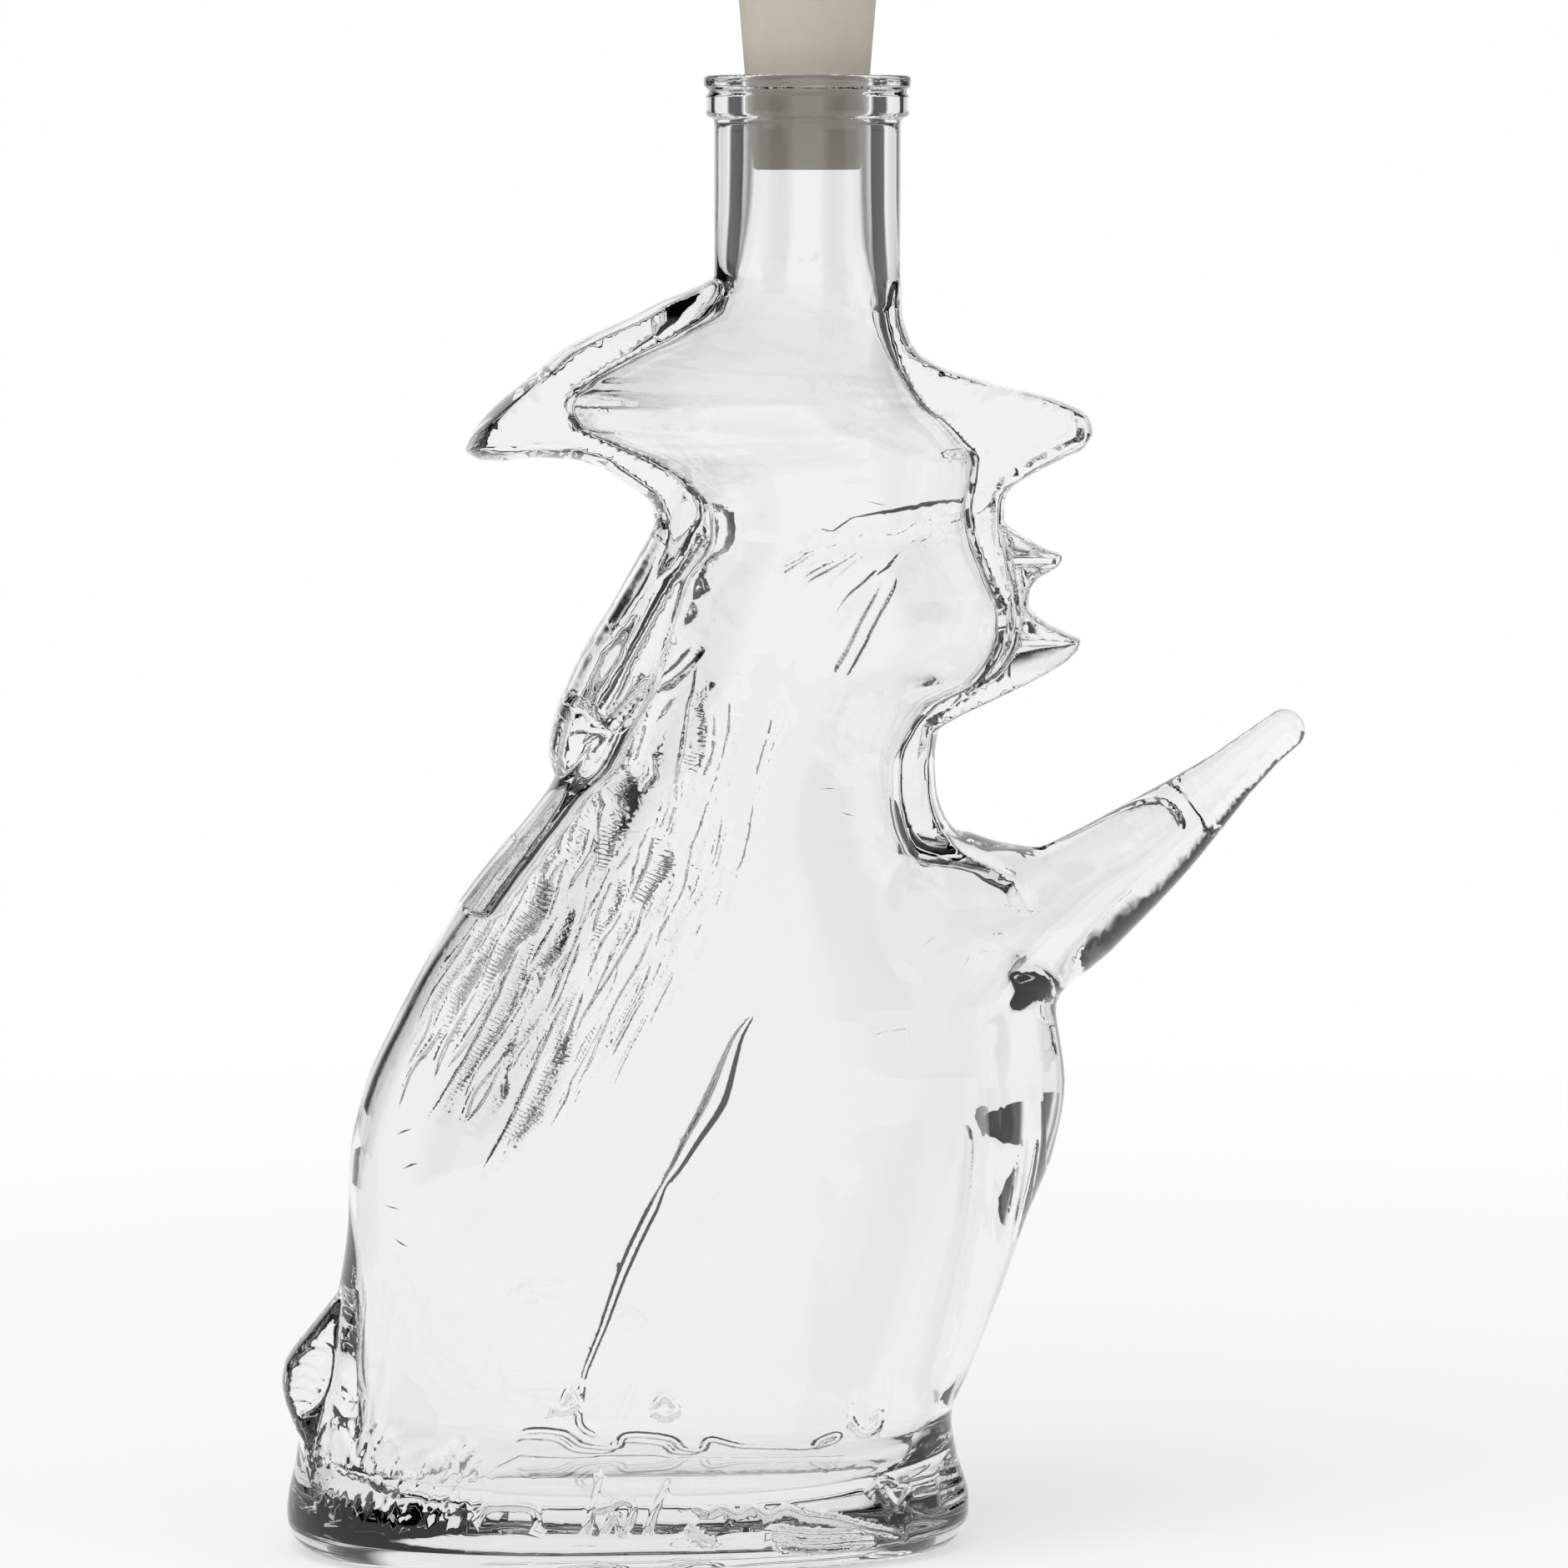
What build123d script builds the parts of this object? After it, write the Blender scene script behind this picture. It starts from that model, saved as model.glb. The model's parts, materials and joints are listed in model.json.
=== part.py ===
"""Figural liquor decanter: a moulded glass witch with a broomstick, and its tapered stopper.

The glass is one moulding. Its skirt, bust, head, hat and neck are kept as solids of their own,
which meet face to face at level planes. The frame stands on the centre of the foot: +X is the way the figure faces, +Y is its left side
and +Z is up. The mould parts along the XZ plane, so both halves are alike.
"""
import math
import os

from build123d import *

# Overall figure, in millimetres. Its height runs from the foot to the top of the hat.
figure_height = 188.6
figure_width = 151.9
figure_depth = 54.0

# Slices lofted from one row of the tables below to the next
steps_between_rows = 2

# Foot
heel_radius = 5.0
heel_steps = 3
base_thickness = 9.2
recess_depth = 1.2
recess_slope = 40.0
bearing_width = 5.5

# Neck and lip, above the hat
neck_height = 28.4
neck_diameter = 27.2
neck_axis_share = 0.014
lip_diameter = 30.3
upper_bead_height = 1.9
bead_groove_height = 0.6
bead_groove_diameter = 28.6
lower_bead_height = 3.8
lower_bead_diameter = 29.7
bead_easing = 0.5
mouth_easing = 0.7
bore_diameter = 18.5

# Levels where one section of the glass meets the next; the hat meets the neck at the figure's top
waist_height_share = 0.392
throat_height_share = 0.657
brow_height_share = 0.827

# Stopper
stopper_length = 28.0
stopper_bottom_diameter = 16.0
stopper_inserted_length = 13.7
stopper_clearance = 0.12
stopper_easing = 0.4

# Binding of the broom: a ball whose centre is a point of the side view
binding_diameter = 17.0
binding_centre_shares = (-0.444, 0.131)

# The foot's left end, right end and half depth, as shares of the figure's width and half depth
foot_shares = (-0.491, 0.171, 0.963)

# Each row is a level slice of the figure: its height, left end, right end and half depth,
# as shares of the figure's height, width, width and half depth.
body_shares = (
    (0.039, -0.491, 0.171, 0.963),
    (0.088, -0.477, 0.154, 0.941),
    (0.203, -0.442, 0.205, 0.981),
    (0.333, -0.425, 0.268, 1.000),
    (0.418, -0.383, 0.257, 0.963),
    (0.484, -0.337, 0.224, 0.915),
    (0.542, -0.284, 0.175, 0.841),
    (0.595, -0.231, 0.141, 0.774),
    (0.641, -0.203, 0.140, 0.741),
    (0.686, -0.183, 0.195, 0.744),
    (0.732, -0.161, 0.221, 0.752),
    (0.830, -0.126, 0.201, 0.700),
)
hollow_shares = (
    (0.072, -0.433, 0.127, 0.796),
    (0.203, -0.420, 0.170, 0.848),
    (0.333, -0.404, 0.205, 0.856),
    (0.425, -0.359, 0.203, 0.815),
    (0.490, -0.308, 0.161, 0.737),
    (0.549, -0.252, 0.125, 0.678),
    (0.608, -0.196, 0.104, 0.622),
    (0.673, -0.161, 0.156, 0.600),
    (0.725, -0.141, 0.196, 0.615),
    (0.797, -0.099, 0.174, 0.578),
    (0.863, -0.110, 0.175, 0.589),
)
floor_shares = (-0.406, 0.101, 0.715)

# Each row is a leaning slice: left end across and up, right end across and up, and half depth,
# as shares of the figure's width, height, width, height and half depth.
crown_shares = (
    (-0.091, 0.983, 0.106, 0.983, 0.533),
    (-0.150, 0.962, 0.110, 0.963, 0.622),
    (-0.211, 0.941, 0.119, 0.945, 0.733),
    (-0.252, 0.918, 0.154, 0.923, 0.837),
    (-0.286, 0.893, 0.244, 0.901, 0.941),
    (-0.316, 0.863, 0.291, 0.875, 1.000),
)
brim_shares = (
    (-0.316, 0.863, 0.291, 0.875, 1.000),
    (-0.311, 0.850, 0.282, 0.859, 0.963),
    (-0.211, 0.848, 0.253, 0.848, 0.804),
    (-0.138, 0.817, 0.207, 0.821, 0.667),
)
hood_shares = (
    (-0.122, 0.833, -0.037, 0.817, 0.467),
    (-0.133, 0.797, -0.037, 0.778, 0.533),
    (-0.173, 0.739, -0.057, 0.715, 0.641),
    (-0.211, 0.689, -0.106, 0.667, 0.585),
    (-0.235, 0.643, -0.158, 0.628, 0.422),
    (-0.237, 0.609, -0.200, 0.602, 0.204),
)
hat_hollow_shares = (
    (-0.169, 0.851, 0.195, 0.852, 0.778),
    (-0.216, 0.875, 0.159, 0.879, 0.793),
    (-0.219, 0.899, 0.122, 0.902, 0.719),
    (-0.170, 0.927, 0.101, 0.928, 0.589),
    (-0.081, 0.970, 0.085, 0.973, 0.407),
)

# Each limb is turned about the line from its root to its tip, which are points of the side view.
# Its rows are shares of the way along it, and radii as shares of the figure's half depth.
arm_root_shares = (0.130, 0.423)
arm_tip_shares = (0.495, 0.638)
arm_shares = ((0.00, 0.493), (0.31, 0.374), (0.58, 0.260), (0.81, 0.155), (1.00, 0.050))
nose_root_shares = (0.138, 0.782)
nose_tip_shares = (0.264, 0.771)
nose_shares = ((0.00, 0.384), (0.60, 0.196), (0.84, 0.110), (1.00, 0.032))
chin_root_shares = (0.122, 0.690)
chin_tip_shares = (0.280, 0.707)
chin_shares = ((0.00, 0.329), (0.44, 0.288), (0.72, 0.192), (1.00, 0.046))
arm_hollow_root_shares = (0.138, 0.463)
arm_hollow_tip_shares = (0.372, 0.567)
arm_hollow_shares = ((0.00, 0.384), (0.38, 0.256), (0.67, 0.164), (1.00, 0.059))
hood_hollow_root_shares = (-0.063, 0.801)
hood_hollow_tip_shares = (-0.192, 0.652)
hood_hollow_shares = ((0.00, 0.210), (0.50, 0.210), (0.82, 0.146), (1.00, 0.059))

# Sizes that follow from the ones above
half_depth = figure_depth / 2
neck_axis = neck_axis_share * figure_width
rim_height = figure_height + neck_height
neck_radius = neck_diameter / 2
bore_radius = bore_diameter / 2
lip_radius = lip_diameter / 2
lower_bead_radius = lower_bead_diameter / 2
groove_radius = bead_groove_diameter / 2
upper_bead_bottom = rim_height - upper_bead_height
lower_bead_top = upper_bead_bottom - bead_groove_height
lower_bead_bottom = lower_bead_top - lower_bead_height
waist_height = waist_height_share * figure_height
throat_height = throat_height_share * figure_height
brow_height = brow_height_share * figure_height
stopper_bottom_radius = stopper_bottom_diameter / 2
stopper_mouth_radius = bore_radius - stopper_clearance
stopper_taper = (stopper_mouth_radius - stopper_bottom_radius) / stopper_inserted_length
stopper_top_radius = stopper_bottom_radius + stopper_taper * stopper_length
stopper_bottom_height = rim_height - stopper_inserted_length


def outline_point(across_share, height_share):
    """A point of the side view, on the mould's parting plane."""
    return Vector(across_share * figure_width, 0, height_share * figure_height)


def filled_rows(rows):
    """The rows of a table with others between them, along a curve through all of them."""
    filled = []
    for index in range(len(rows) - 1):
        near, far = rows[index], rows[index + 1]
        before = rows[max(index - 1, 0)]
        after = rows[min(index + 2, len(rows) - 1)]
        for step in range(steps_between_rows):
            share = step / steps_between_rows
            filled.append([curve_value(*four, share) for four in zip(before, near, far, after)])
    return filled + [rows[-1]]


def curve_value(before, near, far, after, share):
    """The value part of the way from near to far on a curve through four even values."""
    slope = (far - before) / 2
    next_slope = (after - near) / 2
    rise = far - near
    bend = 3 * rise - 2 * slope - next_slope
    return near + share * (slope + share * (bend + share * (slope + next_slope - 2 * rise)))


def oval_slice(left, right, depth_share, inset=0):
    """An oval face between two points of the side view, drawn in all round by the inset."""
    along = right - left
    plane = Plane(origin=(left + right) / 2, x_dir=along, z_dir=along.cross(Vector(0, 1, 0)))
    with BuildSketch(plane, mode=Mode.PRIVATE) as oval:
        Ellipse(along.length / 2 - inset, depth_share * half_depth - inset)
    return oval.sketch.face()


def level_slices(rows):
    """Oval faces for a table of level slices."""
    return [
        oval_slice(outline_point(left, height), outline_point(right, height), depth)
        for height, left, right, depth in rows
    ]


def leaning_slices(rows):
    """Oval faces for a table of leaning slices."""
    return [
        oval_slice(outline_point(left, left_height), outline_point(right, right_height), depth)
        for left, left_height, right, right_height, depth in rows
    ]


def heel_slices():
    """Oval faces round the quarter turn of the heel, drawn in from the foot's own outline."""
    left, right, depth = foot_shares
    slices = []
    for step in range(heel_steps + 1):
        turn = math.pi / 2 * step / heel_steps
        up = Vector(0, 0, heel_radius * (1 - math.cos(turn)))
        inset = heel_radius * (1 - math.sin(turn))
        ends = (outline_point(end, 0) + up for end in (left, right))
        slices.append(oval_slice(*ends, depth, inset))
    return slices


def turned_limb(root_shares, tip_shares, rows, mode=Mode.ADD):
    """Turn the half section of a limb about the line from its root to its tip."""
    root = outline_point(*root_shares)
    along = outline_point(*tip_shares) - root
    corners = [(share * along.length, radius_share * half_depth) for share, radius_share in rows]
    with BuildSketch(Plane(root, x_dir=along, z_dir=(0, -1, 0)), mode=Mode.PRIVATE) as section:
        with BuildLine():
            Polyline((0, 0), *corners, (along.length, 0), close=True)
        make_face()
    revolve(section.sketch, Axis(root, along), mode=mode)


def neck_slice(radius):
    """A round face where the neck meets the top of the hat."""
    with BuildSketch(Plane((neck_axis, 0, figure_height)), mode=Mode.PRIVATE) as ring:
        Circle(radius)
    return ring.sketch.face()


def ring_profile(points, eased_corners, easing):
    """A closed half section about the neck's axis, with some of its corners eased."""
    with BuildSketch(neck_plane, mode=Mode.PRIVATE) as section:
        with BuildLine():
            Polyline(*points, close=True)
        make_face()
        for corner in eased_corners:
            chamfer(section.vertices().sort_by_distance(corner)[0], easing)
    return section.sketch


neck_plane = Plane((neck_axis, 0, 0), x_dir=(1, 0, 0), z_dir=(0, -1, 0))
neck_line = Axis((neck_axis, 0, 0), (0, 0, 1))

# The glass, whole
with BuildPart() as glass:
    # Foot, skirt, bust and head in one swelling form that stands on a rounded heel
    loft(heel_slices() + level_slices(filled_rows(body_shares)), ruled=True)

    # Hat: the crown down from the neck, then the underside of the brim back in to the head
    loft([neck_slice(neck_radius)] + leaning_slices(filled_rows(crown_shares)), ruled=True)
    loft(leaning_slices(filled_rows(brim_shares)), ruled=True)

    # Arm and sleeve, running out into the broomstick
    turned_limb(arm_root_shares, arm_tip_shares, arm_shares)

    # Hooked nose, pointed chin and the tail of the hood down the back
    turned_limb(nose_root_shares, nose_tip_shares, nose_shares)
    turned_limb(chin_root_shares, chin_tip_shares, chin_shares)
    loft(leaning_slices(filled_rows(hood_shares)), ruled=True)

    # Binding of the broom, at the back of the foot
    with Locations(outline_point(*binding_centre_shares)):
        Sphere(binding_diameter / 2)

    # Neck and lip
    outer = (
        (0, figure_height),
        (neck_radius, figure_height),
        (neck_radius, lower_bead_bottom),
        (lower_bead_radius, lower_bead_bottom),
        (lower_bead_radius, lower_bead_top),
        (groove_radius, lower_bead_top),
        (groove_radius, upper_bead_bottom),
        (lip_radius, upper_bead_bottom),
        (lip_radius, rim_height),
        (0, rim_height),
    )
    bead_corners = (outer[3], outer[4], outer[7], outer[8])
    revolve(ring_profile(outer, bead_corners, bead_easing), neck_line)

    # Hollow for the liquor: skirt to head, hat, sleeve and hood, then the bore of the neck
    floor = (base_thickness / figure_height,) + floor_shares
    loft(level_slices(filled_rows((floor,) + hollow_shares)), ruled=True, mode=Mode.SUBTRACT)
    hat_hollow = leaning_slices(filled_rows(hat_hollow_shares)) + [neck_slice(bore_radius)]
    loft(hat_hollow, ruled=True, mode=Mode.SUBTRACT)
    turned_limb(arm_hollow_root_shares, arm_hollow_tip_shares, arm_hollow_shares, Mode.SUBTRACT)
    turned_limb(hood_hollow_root_shares, hood_hollow_tip_shares, hood_hollow_shares, Mode.SUBTRACT)
    with BuildSketch(Plane((neck_axis, 0, figure_height))):
        Circle(bore_radius)
    extrude(amount=neck_height, mode=Mode.SUBTRACT)
    mouth = glass.faces().filter_by(Plane.XY).sort_by(Axis.Z)[-1].inner_wires()
    chamfer(mouth.edges(), mouth_easing)

    # Shallow recess under the foot, which leaves a ring to stand on
    foot_left, foot_right, foot_depth = foot_shares
    foot_centre = (foot_left + foot_right) / 2 * figure_width
    foot_half_width = (foot_right - foot_left) / 2 * figure_width
    foot_edge = heel_radius + bearing_width
    with BuildSketch(Plane((foot_centre, 0, 0))):
        Ellipse(foot_half_width - foot_edge, foot_depth * half_depth - foot_edge)
    extrude(amount=recess_depth, taper=recess_slope, mode=Mode.SUBTRACT)

# Its sections, from the foot up
with BuildPart() as skirt:
    add(glass.part)
    split(bisect_by=Plane.XY.offset(waist_height), keep=Keep.BOTTOM)
skirt.part.label = "skirt"

with BuildPart() as bust:
    add(glass.part)
    split(bisect_by=Plane.XY.offset(waist_height), keep=Keep.TOP)
    split(bisect_by=Plane.XY.offset(throat_height), keep=Keep.BOTTOM)
bust.part.label = "bust"

with BuildPart() as head:
    add(glass.part)
    split(bisect_by=Plane.XY.offset(throat_height), keep=Keep.TOP)
    split(bisect_by=Plane.XY.offset(brow_height), keep=Keep.BOTTOM)
head.part.label = "head"

with BuildPart() as hat:
    add(glass.part)
    split(bisect_by=Plane.XY.offset(brow_height), keep=Keep.TOP)
    split(bisect_by=Plane.XY.offset(figure_height), keep=Keep.BOTTOM)
hat.part.label = "hat"

with BuildPart() as neck:
    add(glass.part)
    split(bisect_by=Plane.XY.offset(figure_height), keep=Keep.TOP)
neck.part.label = "neck"

# The tapered stopper, seated in the mouth
with BuildPart() as stopper:
    taper = (
        (0, stopper_bottom_height),
        (stopper_bottom_radius, stopper_bottom_height),
        (stopper_top_radius, stopper_bottom_height + stopper_length),
        (0, stopper_bottom_height + stopper_length),
    )
    revolve(ring_profile(taper, taper[1:3], stopper_easing), neck_line)
stopper.part.label = "stopper"

os.makedirs("parts", exist_ok=True)
for piece in (skirt, bust, head, hat, neck, stopper):
    export_step(piece.part, f"parts/{piece.part.label}.step")
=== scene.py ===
"""Figural liquor decanter: a witch in clear flint glass, with a soft stopper, in its studio.

The decanter is blown into a two-part mould, so each half of its surface is a height over the
mould's parting plane. The forms are drawn on that plane as maps of the squared half depth, joined
there, and turned into one closed skin of glass with the hollow for the liquor inside it.
"""
import json
import logging
import math
from dataclasses import dataclass, field
from enum import Enum
from typing import Any, Sequence

import bmesh
import bpy
import numpy as np
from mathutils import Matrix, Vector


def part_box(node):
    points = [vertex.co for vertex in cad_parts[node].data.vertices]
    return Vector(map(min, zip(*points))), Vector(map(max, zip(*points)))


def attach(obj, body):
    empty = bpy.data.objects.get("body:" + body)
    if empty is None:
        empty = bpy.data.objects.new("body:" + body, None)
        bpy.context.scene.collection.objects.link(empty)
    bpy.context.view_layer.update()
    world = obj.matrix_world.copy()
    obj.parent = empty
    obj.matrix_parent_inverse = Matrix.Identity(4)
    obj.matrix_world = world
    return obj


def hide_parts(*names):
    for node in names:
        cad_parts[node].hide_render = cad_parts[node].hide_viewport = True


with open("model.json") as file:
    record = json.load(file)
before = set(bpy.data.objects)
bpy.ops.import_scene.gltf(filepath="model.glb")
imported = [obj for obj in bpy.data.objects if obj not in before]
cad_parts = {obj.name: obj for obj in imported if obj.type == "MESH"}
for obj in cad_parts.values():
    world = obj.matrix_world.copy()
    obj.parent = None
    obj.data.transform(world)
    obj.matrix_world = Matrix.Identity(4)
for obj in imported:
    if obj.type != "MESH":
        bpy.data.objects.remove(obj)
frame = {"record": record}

import openvdb
from mathutils import Vector

log = logging.getLogger("decanter")

Row = tuple[float, ...]
Rows = Sequence[Row]
Array = np.ndarray
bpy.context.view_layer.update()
MILLIMETRE = 0.001


class Stroke(Enum):
    """How a line is sunk into the glass."""
    GROOVE = "with two steep sides"
    LAPPED = "steep on one side only, like a lock of hair that laps over the next"


def linear_colour(hex_value: str) -> tuple[float, float, float, float]:
    """Turn an sRGB hex colour into the linear colour that a shader takes.

    Args:
        hex_value: Six hex digits after a hash.

    Returns:
        Red, green and blue as linear light, and an alpha of one.
    """
    parts = [int(hex_value[i:i + 2], 16) / 255 for i in (1, 3, 5)]
    linear = [c / 12.92 if c <= 0.04045 else ((c + 0.055) / 1.055) ** 2.4 for c in parts]
    return (*linear, 1.0)


def add_node(tree: bpy.types.NodeTree, kind: str, settings: dict[str, Any] | None = None,
             **links: Any) -> bpy.types.Node:
    """Add a node with its settings, values and links.

    Args:
        tree: Node tree that takes the node.
        kind: The node's type name without the ShaderNode that all of them start with.
        settings: Properties of the node itself.
        links: For each input, named with _ for a space, its value, or the output socket that
            feeds it. A node stands for its first output.

    Returns:
        The new node.
    """
    node = tree.nodes.new("ShaderNode" + kind)
    for name, value in (settings or {}).items():
        setattr(node, name, value)
    for name, value in links.items():
        numbered = name.startswith("in") and name[2:].isdigit()
        key = int(name[2:]) if numbered else name.replace("_", " ")
        if isinstance(value, bpy.types.Node):
            value = value.outputs[0]
        if isinstance(value, bpy.types.NodeSocket):
            tree.links.new(value, node.inputs[key])
        else:
            node.inputs[key].default_value = value
    return node


def new_material(name: str) -> tuple[bpy.types.Material, bpy.types.NodeTree]:
    """Make an empty node material.

    Args:
        name: Name of the material.

    Returns:
        The material and its node tree.
    """
    material = bpy.data.materials.new(name)
    material.use_nodes = True
    material.node_tree.nodes.clear()
    return material, material.node_tree


def new_piece(name: str, points: Rows, faces: Sequence[tuple[int, ...]],
              material: bpy.types.Material) -> bpy.types.Object:
    """Put a new mesh in the scene.

    Args:
        name: Name of the piece and its mesh.
        points: Places of the mesh's points.
        faces: Numbers of the points round each face.
        material: What the piece is made of.

    Returns:
        The piece.
    """
    mesh = bpy.data.meshes.new(name)
    mesh.from_pydata(points, [], faces)
    mesh.materials.append(material)
    piece = bpy.data.objects.new(name, mesh)
    bpy.context.scene.collection.objects.link(piece)
    return piece


def turned_surface(section: Rows, sides: int,
                   axis: float = 0.0) -> tuple[list[Row], list[tuple[int, ...]]]:
    """Turn a section about an upright axis.

    Args:
        section: Radii and heights. A radius of zero makes one point on the axis.
        sides: Number of sides all round.
        axis: Where the axis stands across.

    Returns:
        The points, and the numbers of the points round each face.
    """
    points, rings, faces = [], [], []
    for radius, height in section:
        turns = [math.tau * side / sides for side in range(sides if radius else 1)]
        rings.append(range(len(points), len(points) + len(turns)))
        points += [(axis + radius * math.cos(t), radius * math.sin(t), height) for t in turns]
    for low, high in zip(rings, rings[1:]):
        for side in range(sides):
            corners = (low[side % len(low)], low[(side + 1) % len(low)],
                       high[(side + 1) % len(high)], high[side % len(high)])
            faces.append(tuple(dict.fromkeys(corners)))
    return points, faces


def curve_through(knots: Sequence[float], values: Sequence[float], at: Array) -> Array:
    """Read a smooth curve through points, one that never swings past them.

    Args:
        knots: Rising places of the points.
        values: Value at each place.
        at: Places where the curve is read, held within the first and last one.

    Returns:
        The curve's values.
    """
    knots, values = np.asarray(knots, float), np.asarray(values, float)
    gaps, slopes = np.diff(knots), np.diff(values) / np.diff(knots)
    rates = np.zeros_like(values)
    same_way = slopes[:-1] * slopes[1:] > 0
    near, far = 2 * gaps[1:] + gaps[:-1], gaps[1:] + 2 * gaps[:-1]
    safe = np.where(same_way, slopes[:-1], 1.0), np.where(same_way, slopes[1:], 1.0)
    rates[1:-1] = np.where(same_way, (near + far) / (near / safe[0] + far / safe[1]), 0.0)
    rates[0], rates[-1] = slopes[0], slopes[-1]
    at = np.clip(at, knots[0], knots[-1])
    index = np.clip(np.searchsorted(knots, at, side="right") - 1, 0, len(gaps) - 1)
    gap = gaps[index]
    t = (at - knots[index]) / gap
    return (values[index] * (1 + 2 * t) * (1 - t) ** 2 + values[index + 1] * t * t * (3 - 2 * t)
            + gap * t * (1 - t) * (rates[index] * (1 - t) - rates[index + 1] * t))


def swept_points(points: Rows, spacing: float) -> Array:
    """Walk a rounded line through points, whose other columns change along with it.

    Args:
        points: Rows that start with two coordinates.
        spacing: Greatest distance between one step and the next.

    Returns:
        Rows along the line.
    """
    table = np.asarray(points, float)
    legs = np.hypot(*np.diff(table[:, :2], axis=0).T)
    walk = np.concatenate([[0.0], np.cumsum(np.maximum(legs, 1e-6))])
    at = np.linspace(0.0, walk[-1], max(2, int(walk[-1] / spacing) + 1))
    if len(table) < 3:
        return np.stack([np.interp(at, walk, column) for column in table.T], axis=1)
    padded = np.vstack([2 * table[0] - table[1], table, 2 * table[-1] - table[-2]])
    index = np.clip(np.searchsorted(walk, at, side="right") - 1, 0, len(table) - 2)
    t = ((at - walk[index]) / (walk[index + 1] - walk[index]))[:, None]
    a, b, c, d = (padded[index + k] for k in range(4))
    curve = 0.5 * (2 * b + (c - a) * t + (2 * a - 5 * b + 4 * c - d) * t ** 2
                   + (3 * b - a - 3 * c + d) * t ** 3)
    plain = b + (c - b) * t
    curve[:, 2:] = plain[:, 2:]
    return curve


def joined(first: Array, second: Array, width: float) -> Array:
    """Take the greater of two maps, with the crease between them filled over a width."""
    near = np.clip(width - np.abs(first - second), 0.0, None) / width
    return np.maximum(first, second) + near * near * width / 4


def rounded_corner(first: Array, second: Array, radius: float) -> Array:
    """Distance to what lies inside both of two forms, with their shared edge rounded.

    Args:
        first: Signed distance to the first form.
        second: Signed distance to the second form.
        radius: Radius of the edge.

    Returns:
        Signed distance to the common form.
    """
    inside = np.minimum(np.maximum(first, second), -radius)
    return inside + np.hypot(np.maximum(first + radius, 0), np.maximum(second + radius, 0))


@dataclass
class Viewpoint:
    """Where the photograph was taken from, and what its pixels mean.

    Lengths are in millimetres, and places in the picture in pixels.
    """
    rim: float
    neck_axis: float
    distance: float = 1000.0
    height: float = 211.0
    yaw: float = 4.0
    image: int = 1880
    rim_pixel: float = 90.0
    ground_pixel: float = 1848.0
    neck_pixel: float = 968.0

    def __post_init__(self) -> None:
        """Tilt and focus the camera so that the rim and the ground fall on their pixels."""
        middle = self.image / 2
        rise = math.atan2(self.rim - self.height, self.distance)
        drop = math.atan2(self.height, self.distance)
        low, high = 0.0, drop
        for _ in range(50):
            tilt = (low + high) / 2
            share = math.tan(rise + tilt) / math.tan(drop - tilt)
            tilted = share * (self.ground_pixel - middle) > middle - self.rim_pixel
            low, high = (low, tilt) if tilted else (tilt, high)
        self.focal = (middle - self.rim_pixel) / math.tan(rise + tilt)
        turn = math.radians(self.yaw)
        aim = self.neck_axis - (self.neck_pixel - middle) * self.distance / self.focal
        self.place = np.array([aim - self.distance * math.sin(turn),
                               -self.distance * math.cos(turn), self.height])
        self.forward = np.array([math.sin(turn) * math.cos(tilt), math.cos(turn) * math.cos(tilt),
                                 -math.sin(tilt)])
        self.right = np.array([math.cos(turn), -math.sin(turn), 0.0])
        self.up = np.cross(self.right, self.forward)

    def sighted(self, pixels: Array, beyond: Array | float = 0.0) -> Array:
        """Follow the sight lines of pixels to the mould's parting plane, or past it.

        Args:
            pixels: Rows of a pixel's place.
            beyond: How far behind the parting plane each line stops, in millimetres.

        Returns:
            Rows of places across and up, in millimetres.
        """
        middle = self.image / 2
        rays = (self.forward * self.focal + (pixels[:, :1] - middle) * self.right
                - (pixels[:, 1:2] - middle) * self.up)
        reach = (np.reshape(beyond, (-1, 1)) - self.place[1]) / rays[:, 1:2]
        return (self.place + rays * reach)[:, [0, 2]]


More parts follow.
